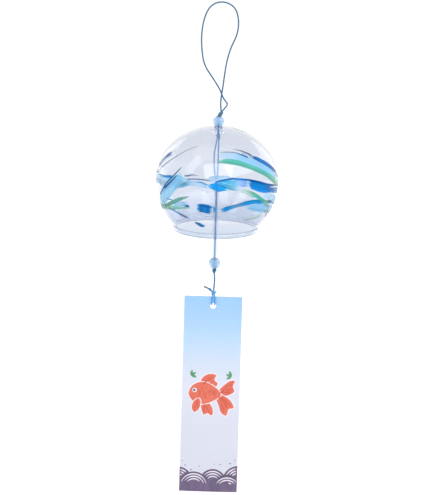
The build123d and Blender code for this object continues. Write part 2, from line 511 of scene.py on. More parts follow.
def plied(line, vertices, faces, fray=0.0, scale=1.0, phase=0.0):
    """Adds a three-ply cord along the line. The plies part over the last stretch where it frays."""
    line = evenly(line, PLY_STEP)
    sides = frames(line)
    step = (line[1] - line[0]).length
    for ply in range(PLIES):
        centre, radii = [], []
        for i, (place, (u, v)) in enumerate(zip(line, sides)):
            turn = phase + 2 * pi * (ply / PLIES + i * step / PLY_PITCH)
            loose = max(0.0, 1 - (len(line) - 1 - i) * step / fray) if fray else 0.0
            spread = PLY_SPREAD * scale * (1 + 1.5 * loose * loose)
            centre.append(place + (u * cos(turn) + v * sin(turn)) * spread)
            radii.append(PLY_RADIUS * scale * (1 - 0.45 * loose))
        tube_mesh(centre, radii, PLY_SIDES, vertices, faces)


def cord_piece(name, routes, body, replaces, fray=0.0, material=CORD):
    """One or more cords of a node. Returns the piece and the line of the first."""
    vertices, faces, lines = [], [], []
    for index, route in enumerate(routes):
        lines.append(nurbs_line(route))
        plied(lines[-1], vertices, faces, fray, phase=index * 1.1)
    return new_piece(name, vertices, faces, material, body, "cord", replaces), lines[0]


def length_of(line):
    return lengths_along(line)[-1]


# Cords

LOOP_ROUTE = [
    (1.60, -0.55, -74.048), (3.4, -0.45, -71.7), (5.9, -0.50, -68.3), (3.7, -0.70, -65.9),
    (2.05, -0.75, -63.3), (1.15, -0.75, -60.6), (-0.55, -0.60, -57.3), (-4.3, -0.3, -51.6),
    (-10.6, 0.2, -42.8), (-12.5, 0.3, -31.8), (-12.8, 0.2, -20.9), (-11.4, 0.0, -11.6), (-8.3, 0.0, -4.0),
    (-3.1, 0.0, -0.4), (3.5, 0.0, -0.4), (9.4, 0.1, -4.5), (11.5, 0.2, -13.3), (10.5, 0.2, -22.3),
    (6.5, 0.2, -30.8), (4.1, 0.3, -40.4), (2.9, 0.5, -49.8), (2.15, 0.6, -57.4), (1.25, 0.7, -63.7),
    (1.0, 0.7, -67.5), (1.15, 0.6, -70.7), (1.50, 0.55, -73.598),
]
RIGHT_ROUTE = [
    (0.525, 0, -91.81), (0.45, 0, -95.6), (0.50, 0.10, -102.8), (0.42, 0.15, -110.6), (0.25, 0.35, -118.2),
    (0.10, 0.52, -124.0), (0.05, 0.54, -130.0), (0.05, 0.54, -178.364),
]
LEFT_ROUTE = [
    (-0.525, 0, -91.81), (-1.35, 0, -95.9), (-2.25, -0.10, -101.6), (-2.15, -0.15, -109.2),
    (-1.25, -0.35, -117.0), (-0.40, -0.52, -124.0), (-0.05, -0.54, -130.0), (-0.05, -0.54, -178.364),
]
STRIP_CORD = [(0, -181.764), (0.45, -185.4), (0.30, -189.8), (0, -193.9)]
TIE_LOOP = [
    (0.55, -0.75, -196.95), (1.0, -1.3, -199.3), (1.0, -1.3, -203.178), (1.0, 1.3, -203.178),
    (1.0, 1.3, -199.3), (0.55, 0.75, -196.95),
]
LONG_TAIL = [
    (-1.05, 0.25, -194.70), (-2.40, 0.15, -193.65), (-3.70, -0.05, -192.45), (-5.10, -0.20, -191.80),
    (-6.50, -0.25, -191.30),
]
SHORT_TAIL = [
    (-0.50, -0.90, -194.80), (-1.20, -1.30, -193.90), (-1.95, -1.35, -192.85), (-2.45, -1.30, -191.95),
]
STRANDS = (-0.525, 0.525)  # a doubled cord's two strands, in front and behind

loop, loop_line = cord_piece("hanging_loop_cord", [LOOP_ROUTE], "loop", ["hanging_loop"], material=CORD_LOOP)
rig.cord(loop, exit=loop_line[0], length=length_of(loop_line), diameter=0.001, far_end="object",
        stiffness="limp", lay="hanging", path=loop_line)
# The strands inside the bell take the lighter copy of the cord's colours: painted light.
for side, route in (("left", LEFT_ROUTE), ("right", RIGHT_ROUTE)):
    strand, line = cord_piece(f"clapper_cord_{side}", [route], "clapper", [f"clapper_strand_{side}"],
                              material=CORD_LIT_INSIDE)
    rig.cord(strand, exit=line[0], length=length_of(line), diameter=0.001, far_end="knot", stiffness="limp",
            lay="hanging", path=line)
cord_piece("neck_cord", [[(0, y, z) for z in (-77.178, -82.0, -88.61)] for y in STRANDS], "crown_cord",
           ["neck_strands"])
cord_piece("strip_hanging_cord", [[(x, y, z) for x, z in STRIP_CORD] for y in STRANDS], "strip_cord",
           ["strip_cord"])
cord_piece("tie_loop_cord", [TIE_LOOP, [(-x, y, z) for x, y, z in TIE_LOOP]], "tie_loop", ["tie_loop"],
           material=CORD_TIE)
cord_piece("tie_long_end", [LONG_TAIL], "tie_knot", ["long_tail"], 1.6 * MM, CORD_END)
cord_piece("tie_short_end", [SHORT_TAIL], "tie_knot", ["short_tail"], 1.0 * MM, CORD_TIE)


def knot_piece(body, height, long, radius, wraps, lean, turn, shift=(0, 0), material=KNOT):
    """An overhand knot pulled tight: the cord wraps round its own core, and both ends are tucked in.
    It has its body's name and replaces the node of that name."""
    route = [Vector((0, 0, long * 0.42)), Vector((radius * 0.4, 0, long * 0.46))]
    count = round(wraps * 8)
    for i in range(count + 1):
        share = i / count
        angle = 2 * pi * wraps * share
        full = radius * (0.86 + 0.14 * sin(pi * share))
        route.append(Vector((full * cos(angle), full * sin(angle), long * (0.36 - 0.72 * share))))
    route += [Vector((0, -radius * 0.4, -long * 0.46)), Vector((0, 0, -long * 0.42))]
    spin = Matrix.Rotation(radians(turn), 3, "Z") @ Matrix.Rotation(radians(lean), 3, "Y")
    centre = Vector((shift[0], 0, height + shift[1]))
    vertices, faces = [], []
    plied(nurbs_line([spin @ p + centre for p in route]), vertices, faces, scale=0.95)
    heights = (-0.5, -0.42, -0.25, 0.25, 0.42, 0.5)
    core = [(centre + spin @ Vector((0, 0, long * share))) * MM for share in heights]
    tube_mesh(core, [size * radius * MM for size in (0.35, 0.6, 0.8, 0.8, 0.6, 0.35)], 14, vertices, faces)
    new_piece(body + "_cord", vertices, faces, material, body, "cord", [body])


knot_piece("top_knot", -75.378, 4.2, 1.15, 2.4, 36, 0, (0.95, -0.25))
# The knot inside the bell takes the lighter copy of the cord's colours: painted light.
knot_piece("inner_knot", -90.21, 3.2, 0.95, 2.0, -15, 20, material=CORD_LIT_INSIDE)
knot_piece("lower_knot", -180.064, 3.6, 1.1, 2.2, 30, 40, material=CORD)
knot_piece("tie_knot", -195.4, 3.0, 0.95, 2.0, 50, 10, material=CORD_TIE)


# Glass

EQUATOR_Z = -119.4
BELL_R, INNER_R = 40.0, 38.7
OVER, UNDER = (BELL_R, 35.5), (BELL_R, -42.0)  # outer radius, and reach over and under the equator
OVER_IN, UNDER_IN = (INNER_R, 34.2), (INNER_R, -40.7)
HOLE, CROWN = 2.5, 3.1  # radii of the crown hole and of the outer end of its rounded edge
NECK, BORE = 27.2, 26.0  # radii of the wall's outer and inner surface where the lip starts
LIP, LIP_ROUND, LIP_HEIGHT = 27.7, 0.85, 2.8


def wall_z(radius, shell):
    """Height at which a half of the bell's outer or inner surface has a radius."""
    return EQUATOR_Z + shell[1] * sqrt(1 - (radius / shell[0]) ** 2)


def arc_points(shell, start, end, count):
    """Points of a half of the surface between two radii, evenly in angle."""
    first, last = acos(start / shell[0]), acos(end / shell[0])
    angles = [first + (last - first) * i / count for i in range(count + 1)]
    return [(shell[0] * cos(angle), EQUATOR_Z + shell[1] * sin(angle)) for angle in angles]


def rounded(corner, before, after, radius, count=6):
    """A profile's corner, rounded by a curve that starts and ends a radius away from it."""
    corner = Vector(corner)
    start = corner + (Vector(before) - corner).normalized() * radius
    end = corner + (Vector(after) - corner).normalized() * radius
    shares = [i / count for i in range(count + 1)]
    return [tuple(start.lerp(corner, t).lerp(corner.lerp(end, t), t)) for t in shares]


def bell_profile():
    """The wall's closed section: from the crown hole down outside, round the lip, and up inside."""
    top_z, under_z = wall_z(CROWN, OVER), wall_z(CROWN, OVER_IN)
    neck_z, bore_z = wall_z(NECK, UNDER), wall_z(BORE, UNDER_IN)
    round_z = neck_z - LIP_HEIGHT + LIP_ROUND
    points = rounded((HOLE, top_z + 0.03), (HOLE, under_z), (CROWN, top_z), 0.45)
    points += arc_points(OVER, CROWN, BELL_R, 66) + arc_points(UNDER, BELL_R, NECK, 44)[1:]
    points += [(27.36, neck_z - 0.30), (27.58, neck_z - 0.62), (LIP, neck_z - 0.95), (LIP, round_z)]
    for i in range(1, 12):
        turn = pi * i / 12
        points.append((LIP - LIP_ROUND + LIP_ROUND * cos(turn), round_z - LIP_ROUND * sin(turn)))
    points += [(BORE, round_z), (BORE, bore_z - 0.3)]
    points += arc_points(UNDER_IN, BORE, INNER_R, 44)[1:] + arc_points(OVER_IN, INNER_R, CROWN, 66)[1:]
    return points + rounded((HOLE, under_z), (CROWN, under_z), (HOLE, top_z), 0.45)


UNEVEN, UNEVEN_SCALE, EVEN_WITHIN = 0.0035, 0.035, 20  # how much, how finely, and within what radius less


def swell(x, y, z):
    """How much wider the hand-blown wall is at a place than a perfect turned one."""
    return 1 + UNEVEN * noise.noise(Vector((x, y, z)) * UNEVEN_SCALE) * min(1.0, hypot(x, y) / EVEN_WITHIN)


def lathe(name, profile, material, body, slot, node, count=64, uneven=False):
    """A ring-shaped body turned from a closed profile of radius and height."""
    vertices, faces, size = [], [], len(profile)
    for k in range(count):
        turn = 2 * pi * k / count
        for radius, height in profile:
            x, y = radius * sin(turn), -radius * cos(turn)
            grow = swell(x, y, height) if uneven else 1.0
            vertices.append(Vector((x * grow, y * grow, height)) * MM)
    for k in range(count):
        here, after = k * size, (k + 1) % count * size
        faces += [(here + i, here + (i + 1) % size, after + (i + 1) % size, after + i) for i in range(size)]
    new_piece(name, vertices, faces, material, body, slot, [node])


def bead_profile(height):
    """A ball's half section with its bore, the bore's edges rounded."""
    radius, bore, edge = 3.8, 1.2, 0.22
    top = sqrt(radius**2 - bore**2)
    start = asin((bore + edge) / radius)
    points = []
    for i in range(41):
        turn = start + (pi - 2 * start) * i / 40
        points.append((radius * sin(turn), height + radius * cos(turn)))
    points += [(bore + edge * 0.35, height - top + edge * 0.2), (bore, height - top + edge)]
    points += [(bore, height + (top - edge) * (i / 4 - 1)) for i in range(1, 9)]
    points += [(bore + edge * 0.35, height + top - edge * 0.2)]
    return points


def pipe_profile(outer, bore, top, bottom, edge):
    """A pipe's or ring's wall with rounded ends, and long sides cut finely for the glass's waves."""
    profile, points = [], []
    corners = [(bore, top), (outer, top), (outer, bottom), (bore, bottom)]
    for index, corner in enumerate(corners):
        profile += rounded(corner, corners[index - 1], corners[(index + 1) % 4], edge, 8)
    for (r0, z0), (r1, z1) in zip(profile, profile[1:] + profile[:1]):
        parts = 24 if abs(z1 - z0) > 5 else 1
        points += [(r0 + (r1 - r0) * i / parts, z0 + (z1 - z0) * i / parts) for i in range(parts)]
    return points


lathe("bell_glass_body", bell_profile(), BELL_GLASS, "bell", "bell_glass", "glass_bell", 224, True)
lathe("clapper_tube_glass", pipe_profile(2.4, 1.6, -125.253, -171.753, 0.3), TUBE_GLASS, "clapper_tube",
      "tube_glass", "clapper_tube")
lathe("crown_ring_glass", pipe_profile(3.65, 1.2, -86.15, -88.75, 0.7), RING_GLASS, "crown_stopper",
      "clear_ring", "crown_stopper")
for bead, height in (("top_bead", -80.288), ("lower_bead", -175.3)):
    lathe(bead + "_glass", bead_profile(height), BEAD, bead, "bead", bead)


# Brushed paint

def on_glass(azimuth, height, lift):
    """A point over the bell's outer surface, its two directions along it, and its distance from the axis."""
    high = -UNDER[1] if height < EQUATOR_Z else OVER[1]
    angle = asin(max(-1.0, min(1.0, (height - EQUATOR_Z) / high)))
    radius = BELL_R * cos(angle)
    turn = radians(azimuth)
    x, y = radius * sin(turn), -radius * cos(turn)
    grow = swell(x, y, height) + lift / max(radius, 1.0)
    east = Vector((cos(turn), sin(turn), 0))
    rise = Vector((-BELL_R * sin(angle) * sin(turn), BELL_R * sin(angle) * cos(turn),
                   high * cos(angle))).normalized()
    return Vector((x * grow, y * grow, height)), east, rise, radius


def catmull(points, t):
    """A Catmull-Rom curve's point between the middle two of four."""
    return tuple(0.5 * (2 * b + (c - a) * t + (2 * a - 5 * b + 4 * c - d) * t * t
                        + (3 * b - a - 3 * c + d) * t**3) for a, b, c, d in zip(*points))


def smooth_values(rows, count):
    """Rows of numbers run through by a smooth curve, evenly in index."""
    rows = [tuple(2 * a - b for a, b in zip(rows[0], rows[1]))] + list(rows)
    rows.append(tuple(2 * a - b for a, b in zip(rows[-1], rows[-2])))
    result = []
    for i in range(count + 1):
        t = (len(rows) - 3) * i / count
        k = min(int(t), len(rows) - 4)
        result.append(catmull(rows[k:k + 4], t - k))
    return result


# One of these colours, used only on the bell's left side, is the sky paint made lighter: painted light for the side
# that the lamps light less.
PAINT = {name: tuple(map(int, colour)) for name, *colour in map(str.split, """
  haze 140 154 176, mist 202 226 218, slate 76 108 158, navy 50 72 138, lead 98 110 124, ink 42 80 116,
  pine 26 102 144, deep 12 100 172, cobalt 14 114 204, royal 4 132 238, blue 48 150 222, azure 16 148 230,
  steel 90 158 210, sky 150 213 255, clear 160 222 255, ice 186 225 255, aqua 136 206 246, teal 112 190 218,
  lagoon 58 170 218, lilac 126 176 248, mint 180 228 212, moss 142 198 168, jade 108 196 172,
  leaf 78 190 166, white 252 254 255
""".split(","))}
ENAMEL = paint_material()
STROKE_STEPS = 90
BRISTLE, OVERLAP = 0.34, 1.04  # a bristle mark's width, and how far it laps over the next
RAGGED, RAGGED_SHARE = 3.5, 0.14  # most that a wide stroke's ends are ragged, and as a share of its length
LIFT, LAYER_LIFT, BRISTLE_LIFT = 0.03, 0.02, 0.012  # the paint over the glass


def stroke(name, layer, rows, seed):
    """One brush stroke along its rows, as bristle marks with ragged ends."""
    dice = random.Random(seed)
    line = smooth_values([(*row[:3], *PAINT[row[3]]) for row in rows], STROKE_STEPS)
    line = [(a, h, max(0.06, w), *(min(255, max(0, c)) for c in colour)) for a, h, w, *colour in line]
    places = [on_glass(row[0], row[1], 0) for row in line]
    along = lengths_along([place for place, *_ in places])
    total = along[-1]
    count = max(1, round(2 * max(row[2] for row in line) / BRISTLE))
    ragged = 0.0 if count < 3 else min(RAGGED, total * RAGGED_SHARE) * min(1.0, count / 9)
    vertices, faces, uvs, pigment, tone = [], [], [], [], 1.0
    for b in range(count):
        tone = min(1.12, max(0.86, tone + dice.uniform(-0.09, 0.09)))
        start = dice.uniform(0, 1) ** 2 * ragged
        finish = total - dice.uniform(0, 1) ** 1.5 * ragged * 1.4
        lift = LIFT + LAYER_LIFT * layer + BRISTLE_LIFT * dice.random()
        middle = (b + 0.5) / count * 2 - 1
        first = len(vertices)
        for i, (row, s) in enumerate(zip(line, along)):
            if not start <= s <= finish:
                continue
            azimuth, height, width = row[:3]
            taper = min(1.0, s - start + 0.1, (finish - s) / 1.5 + 0.08)
            run = (places[min(i + 1, STROKE_STEPS)][0] - places[max(i - 1, 0)][0]).normalized()
            _, east, rise, radius = places[i]
            side = Vector((-run.dot(rise), run.dot(east)))
            half = taper * OVERLAP / count
            for edge in (middle - half, middle + half):
                across = edge * width
                turned = azimuth + degrees(side.x * across / max(radius, 1))
                vertices.append(on_glass(turned, height + side.y * across * rise.z, lift)[0] * MM)
                uvs.append((s * MM, across * MM))
                pigment += srgb(*(c * min(tone, 255 / max(row[3:])) for c in row[3:]))
        faces += [(k, k + 1, k + 3, k + 2) for k in range(first, len(vertices) - 2, 2)]
    piece = new_piece("stroke_" + name, vertices, faces, ENAMEL, "bell", uvs=uvs)
    values = piece.data.attributes.new("pigment", "FLOAT_COLOR", "POINT")
    values.data.foreach_set("color", pigment)


def strokes_of(table):
    """The table's strokes, each as its name, its layer and its rows."""
    for entry in table.split(";"):
        head, rows = entry.split(":")
        result = []
        for row in rows.split(","):
            azimuth, height, width, *change = row.split()
            colour = change[0] if change else result[-1][3]
            result.append((float(azimuth), float(height), float(width), colour))
        name, layer = head.split()
        yield name, int(layer), result


# Name and layer, then rows of azimuth, height, half width and colour. A colour holds until the next.
# The left sky strokes take the lighter copy of the sky paint: painted light, for the side that the lamps light less.
STROKES = """
left_navy 3: -105.9 -117.7 .2 haze, -94.9 -115.7 .4, -83.9 -113.3 .31, -81.7 -110.9 .86,
  -78.8 -107.6 1.5 slate, -74.2 -103.3 1.82, -68.6 -100.5 1.82 navy, -62.6 -98.4 1.6;
left_navy_trail 2: -63 -98.5 .86 haze, -62.5 -96.9 .64 mist, -64.2 -95.1 .19;
left_hair_top 3: -98.2 -116.7 .2 lead, -87.2 -114.7 .4, -76.2 -112.3 .31, -69 -108 .53, -56.8 -101.8 .41,
  -45.2 -96.3 .25, -37.5 -93.8 .2, -29.3 -92.1 .16 haze;
left_hair_low 2: -67.1 -112 .19 mist, -60.8 -108.6 .16, -55.9 -105.7 .13;
left_hair_lowest 2: -61.6 -112 .12 mist, -56.3 -109.8 .14, -52.4 -108.1 .08;
left_sky_upper 0: -94.5 -118.8 .2 ice, -83.5 -118.2 2.77, -72.5 -117.5 2.77, -61.4 -117.2 3.34,
  -53 -116.2 3.34 clear, -46.3 -114.7 3.14, -39.4 -113.7 3.34, -32 -114.3 2.72, -26.7 -113.8 1.88 aqua,
  -23.6 -113.2 .85;
left_sky_lower 1: -95.5 -138.8 .2 ice, -84.5 -136.8 1.76, -73.5 -134.4 1.76, -65.3 -129.8 3.57 clear,
  -57.4 -124.7 4.83, -49.7 -120.1 4.2, -42.8 -115.5 3.88, -39.1 -111.1 2.87, -38.1 -108 .84;
left_sky_belly 0: -45.5 -118.7 1.25 clear, -37.9 -117.4 1.25 aqua, -31.7 -115.7 1.36 teal,
  -26.8 -113.4 .94 aqua;
left_edge_blue 2: -94.9 -115.2 .2 ice, -83.9 -114.7 .58, -72.9 -114.1 .58, -64.2 -113.8 .71 steel,
  -56.2 -113.2 .84 blue, -49.8 -112.3 .97, -46.5 -111.9 .39;
left_diagonal 4: -70.1 -127.7 .64 slate, -61 -122.1 .62 pine, -54.8 -117.1 .49, -47.3 -111.9 .5 ink,
  -41.4 -107.2 .45, -38 -103.8 .16 lead;
left_diagonal_two 4: -58.7 -121.8 .67 pine, -51.8 -117.5 .58 deep, -46.5 -113.9 .53, -40.8 -109.8 .33 blue;
left_diagonal_gap 3: -58 -120.8 .44 ice, -52 -116.6 .47, -45.4 -112.2 .21;
left_diagonal_three 4: -65.2 -126.5 .2 aqua, -57.6 -122.8 .24 steel, -52.5 -120.2 .19,
  -47.3 -117.9 .11 aqua;
mid_line 3: -34.2 -110.3 .4 slate, -28.4 -109.6 .52, -24.6 -108.8 .34 lead, -17.5 -108.9 .12 haze;
mid_line_two 3: -30.3 -112 .39 slate, -20.8 -111.2 .39, -11.5 -111.2 .38 lead, -4.6 -111.5 .12 haze;
mid_sky 0: -29.2 -115 1.3 aqua, -21.6 -114 1.67 ice, -14.2 -114.3 1.88, -9.4 -114.9 1.46 sky,
  -5.3 -114.9 .92;
mid_sky_edge 1: -21.1 -112.9 .28 aqua, -15.5 -113 .39 steel, -11.2 -113.8 .39, -7.6 -114.6 .28 blue;
left_green 2: -92 -139.8 .2 moss, -81 -137.8 .85, -70 -135.4 .85, -55.4 -132.1 1.33 jade, -44.7 -128.6 1.31,
  -36.4 -125.8 1.16, -31.4 -124.4 .82 moss, -25.4 -123 .18 haze;
left_green_branch 1: -87.5 -137.2 .2 jade, -76.5 -136.3 1.6, -65.5 -135.1 1.6, -51.3 -133.8 1.38 moss,
  -41.8 -132.6 .98 jade, -33.8 -131.6 .71 moss, -24 -130.9 .51;
left_green_wash 0: -47.3 -131.3 1.16 aqua, -38.5 -129.6 1.65 ice, -31.8 -128.6 1.4 aqua, -27 -128.4 .96 ice;
left_green_hair 2: -56.7 -128.1 .21 steel, -49.7 -127.8 .4, -44.5 -127.8 .21 moss;
left_teal 3: -56.7 -134 .53 haze, -50 -134.9 .66 steel, -43.3 -136 .8, -35.9 -137.6 .82 slate,
  -27.4 -139.1 .71 steel;
left_teal_end 3: -24.8 -141 .57 steel, -19.7 -142.1 1.33 pine, -15 -143.4 1.37 deep, -10 -143.6 .22 steel;
block_lead 3: -33.3 -130.3 .32 steel, -29.3 -130 .77 deep, -27.3 -130.1 .97, -25.6 -130.3 .19 steel;
block 4: -19.7 -130.2 2.39 blue, -15.1 -130.2 2.93 deep, -10.8 -130.4 3.16 cobalt, -6.9 -130.9 3.07 deep,
  -2.7 -131.4 2.66 blue;
block_edge 5: -18.2 -128.3 .38 blue, -13.8 -128.3 .45 deep, -9 -128.9 .46, -4.1 -129.4 .38;
block_piece 4: -1.8 -128.3 .68 steel, -1.6 -130.7 .82 blue, -1.3 -133.4 .64 steel;
right_navy_hair 4: 20.6 -92.9 .19 haze, 30.8 -94 .44 lead, 39.2 -95.7 .56 ink, 46.4 -97.9 .63;
right_navy 4: 40.7 -98.1 .55 deep, 45.8 -98.6 1.2, 51.9 -100.2 1.55 cobalt, 59.8 -102.9 1.66,
  68.6 -106.5 1.58 deep, 75.9 -109.8 1.39 navy, 80.8 -113.4 .75 haze, 93.8 -116.3 .6, 104.8 -118.2 .25;
right_hair 4: 1.2 -94.7 .16 haze, 11.2 -94.4 .3 lead, 22.6 -94.9 .35 slate, 30.8 -96.4 .52 deep,
  39.4 -98.4 .71;
right_hatch_a 5: 30.5 -96.6 .24 slate, 35.1 -95.1 .24;
right_hatch_b 5: 32.8 -97.1 .24 slate, 37.8 -95.5 .24;
right_hatch_c 5: 34.8 -97.7 .24 slate, 40.3 -96.1 .24;
right_hatch_d 5: 37.2 -98.1 .24 slate, 42.9 -96.6 .24;
right_hatch_e 5: 39.6 -98.6 .24 deep, 45.2 -97.3 .24 slate;
right_sky 0: 2.2 -97 1.19 ice, 9.8 -96.3 2.44, 18.2 -96.7 2.63, 30.3 -99 2.81 sky, 44.9 -102 2.59,
  56.3 -105.7 3.08, 66.1 -109.7 3.18, 77.2 -114.9 2.2 ice, 90.2 -117.8 1.76, 101.2 -119.7 .25;
right_green 3: -2.2 -100.4 .19 moss, 3.6 -99.8 1.02 jade, 11.3 -99.6 1.78 leaf, 21.7 -100.5 1.96,
  31.9 -102.5 1.67, 42.3 -105.3 1.72, 53.7 -109 1.65, 62.7 -112.6 2.03 jade, 77.3 -118.2 1.93 moss,
  90.3 -121.1 1.54, 101.3 -123 .25;
right_sky_line 0: -10.1 -111 .84 ice, -6 -110.5 1.67, -1.2 -110.1 1.88, 4.2 -109.5 1.59, 10.2 -109.2 .92,
  17.6 -109.7 .4;
ribbon_edge 4: -2.3 -112.5 .28 blue, 4.2 -111.2 .56 cobalt, 15.1 -110.1 .62, 22.6 -110.5 .56 royal,
  32.4 -111.6 .69 deep, 43 -113.6 .76, 55.9 -116.4 .62, 77.4 -119.9 .39 navy, 90.4 -122.3 .31,
  101.4 -123.9 .25;
ribbon_tip 2: -8.9 -114.4 .32 azure, -6.2 -114.9 1.41, -2.1 -115.1 2.3, 2.5 -115.4 3, 7.2 -116.1 1.88,
  11.9 -116.9 .92 lagoon;
ribbon_teal 3: -1.1 -112.9 .84 lagoon, 4.2 -113.1 1.88, 10.7 -113.9 2.93, 16.7 -114.4 3.34 teal,
  21.6 -115 3.12 ice, 26.6 -116.4 1.3;
ribbon_lilac 2: 14.9 -112 1.25 lilac, 20.4 -112.7 2.09, 26.7 -113.6 2.3, 32 -114.3 1.88 azure;
ribbon_streak_a 5: -.5 -113 .1 ice, 5.4 -113.7 .12 mint, 11.3 -115.3 .08;
ribbon_streak_b 5: 2.4 -112.4 .11 ice, 9.5 -113.2 .12 mint, 16.1 -115 .08;
ribbon_deep 4: 30.4 -113.2 1.21 azure, 34.8 -114.3 2.83 royal, 42 -116.1 3.34, 50.1 -118.1 3.23,
  60.2 -119.9 2.51 cobalt, 77.8 -123.2 1.94 blue, 90.8 -125.6 1.55, 101.8 -127.3 .25;
ribbon_slit 5: 59.5 -118.6 .18 white, 66.5 -119.5 .39, 75.3 -120.7 .33;
right_ice 0: 48.7 -121.8 1.25 ice, 56.7 -124.2 2.09, 68.7 -126.9 2.3, 81.7 -129.8 1.84, 92.7 -131.7 .25;
right_green_low 3: 22.5 -117.7 .62 mint, 27.9 -118.3 .83, 33.3 -119.7 1.14 moss, 39.1 -122 1.31 leaf,
  46.8 -125.2 1.25, 55.7 -129 1.58 jade, 62.6 -132.8 1.72 moss;
right_green_hair 3: 22.8 -118.7 .12 moss, 29.3 -120.3 .16 leaf, 35.7 -122.9 .28, 39.3 -123.2 .18 moss;
right_blue_low 2: 3.6 -130.6 .45 azure, 7.2 -130.9 1.54, 11.6 -129.8 1.61, 20 -128.2 1.25 steel,
  29.4 -126.9 1.54 azure, 40 -126.5 1.49, 50.3 -127.7 1.39, 56.3 -128.2 1.2 steel;
right_blue_edge 2: 54 -127.7 .95 steel, 61.1 -128.7 1.04 slate, 70.6 -130.6 1.05 steel, 83.6 -132.9 .84,
  94.6 -134.4 .25;
right_sky_low 0: 29.4 -129.7 1.05 ice, 36.6 -130.3 1.91 aqua, 45.7 -131.3 3.01 sky, 56.1 -132.9 3.09,
  69.1 -135 2.9 ice, 82.1 -137.1 2.32, 93.1 -138.5 .25;
right_green_faint 1: 29 -139.5 .22 moss, 37.5 -138.6 1.2 mist, 47.6 -138.2 1.59, 59.1 -136.5 .53 moss;
right_green_rim 1: 63.7 -133.8 1.28 moss, 68.4 -138.8 1.07 haze, 70.3 -142.1 .64 mist
"""
for seed, (name, layer, rows) in enumerate(strokes_of(STROKES), 11):
    stroke(name, layer, rows, seed)


# Printed strip

STRIP_THICK = 0.4
INK_LIFT, INK_STEP = 0.025, 0.012  # the lowest ink over the card, and each layer over the one before
HOLE_Z, HOLE_R = -204.2, 2.0
CELL = 4.0  # the card's mesh, and half of the square round its hole


def strip_bend(x, z):
    """How far the card stands off its flat place: a little rounded across, and its foot a little forward."""
    down = (STRIP_TOP - z) / (STRIP_TOP - STRIP_BOTTOM)
    return -0.8 * down**2 * (3 - 2 * down) + 0.5 * (x / STRIP_HALF) ** 2 * down


def strip_piece():
    """The card, meshed finely, with its punched hole."""
    mesh, known = bmesh.new(), {}

    def corner(x, z):
        key = (round(x, 4), round(z, 4))
        if key not in known:
            known[key] = mesh.verts.new((x * MM, -STRIP_THICK / 2 * MM, z * MM))
        return known[key]

    across = [-19, -16, -12, -8, -CELL, 0, CELL, 8, 12, 16, 19]
    down = [STRIP_TOP, HOLE_Z + CELL, HOLE_Z, HOLE_Z - CELL]
    while down[-1] - CELL > STRIP_BOTTOM + 1:
        down.append(down[-1] - CELL)
    down.append(STRIP_BOTTOM)
    for z0, z1 in zip(down, down[1:]):
        for x0, x1 in zip(across, across[1:]):
            if abs(x0 + x1) / 2 >= CELL or abs((z0 + z1) / 2 - HOLE_Z) >= CELL:
                mesh.faces.new((corner(x0, z0), corner(x0, z1), corner(x1, z1), corner(x1, z0)))
    square = [(1, 0), (1, 1), (0, 1), (-1, 1), (-1, 0), (-1, -1), (0, -1), (1, -1)]
    outer = [corner(x * CELL, HOLE_Z + z * CELL) for x, z in square]
    turns = [2 * pi * (k + 0.5) / 40 for k in range(40)]
    inner = [corner(HOLE_R * cos(turn), HOLE_Z + HOLE_R * sin(turn)) for turn in turns]
    for part, (a, b) in enumerate(zip(outer, outer[1:] + outer[:1])):
        rim = (inner + inner[:1])[part * 5:part * 5 + 6]
        for face in ((a, rim[1], rim[0]), (a, rim[2], rim[1]), (a, rim[3], rim[2]), (a, b, rim[3]),
                     (b, rim[4], rim[3]), (b, rim[5], rim[4])):
            mesh.faces.new(face)
    made = bmesh.ops.extrude_face_region(mesh, geom=list(mesh.faces))
    back = [v for v in made["geom"] if isinstance(v, bmesh.types.BMVert)]
    bmesh.ops.translate(mesh, verts=back, vec=(0, STRIP_THICK * MM, 0))
    bmesh.ops.recalc_face_normals(mesh, faces=mesh.faces)
    for vertex in mesh.verts:
        vertex.co.y += strip_bend(vertex.co.x / MM, vertex.co.z / MM) * MM
    mesh.normal_update()
    for face in mesh.faces:
        face.material_index = 0 if face.normal.y < -0.7 else 1
        face.smooth = False
    data = from_bmesh(mesh, "card_strip", CARD, CARD_BACK)
    riding("card_strip", data, "strip", "paper", ["paper_strip"])


def closed_curve(points, parts=8):
    """A closed smooth outline through the points."""
    return [catmull([points[(k + j) % len(points)] for j in (-1, 0, 1, 2)], i / parts)
            for k in range(len(points)) for i in range(parts)]


def printed(name, outlines, ink, layer=0):
    """Flat shapes printed on the card's face, cut finely so that they follow its bend."""
    mesh = bmesh.new()
    for outline in outlines:
        corners = [Vector((x, 0, z)) for x, z in outline]
        points = [mesh.verts.new(c) for c in corners]
        for triangle in geometry.tessellate_polygon([corners]):
            mesh.faces.new([points[i] for i in triangle])
    cuts = [((x, 0, 0), (1, 0, 0)) for x in range(-16, 17, 4)]
    z = STRIP_TOP - CELL
    while z > STRIP_BOTTOM:
        cuts.append(((0, 0, z), (0, 0, 1)))
        z -= CELL
    for place, normal in cuts:
        bmesh.ops.bisect_plane(mesh, geom=mesh.verts[:] + mesh.edges[:] + mesh.faces[:], plane_co=place,
                               plane_no=normal)
    for vertex in mesh.verts:
        x, z = vertex.co.x, vertex.co.z
        vertex.co = Vector((x, strip_bend(x, z) - STRIP_THICK / 2 - INK_LIFT - INK_STEP * layer, z)) * MM
    mesh.normal_update()
    for face in mesh.faces:
        if face.normal.y > 0:
            face.normal_flip()
    riding(name, from_bmesh(mesh, name, INK[ink]), "strip")


def moved(points, x=0.0, z=0.0, turn=0.0, size=1.0):
    c, s = cos(radians(turn)) * size, sin(radians(turn)) * size
    return [(x + a * c - b * s, z + a * s + b * c) for a, b in points]


def band(line, widths):
    """The outline of a ribbon along a line of points."""
    left, right = [], []
    for i, ((x, z), width) in enumerate(zip(line, widths)):
        a, b = line[max(i - 1, 0)], line[min(i + 1, len(line) - 1)]
        run = Vector((b[0] - a[0], b[1] - a[1])).normalized()
        left.append((x - run.y * width, z + run.x * width))
        right.append((x + run.y * width, z - run.x * width))
    return left + right[::-1]


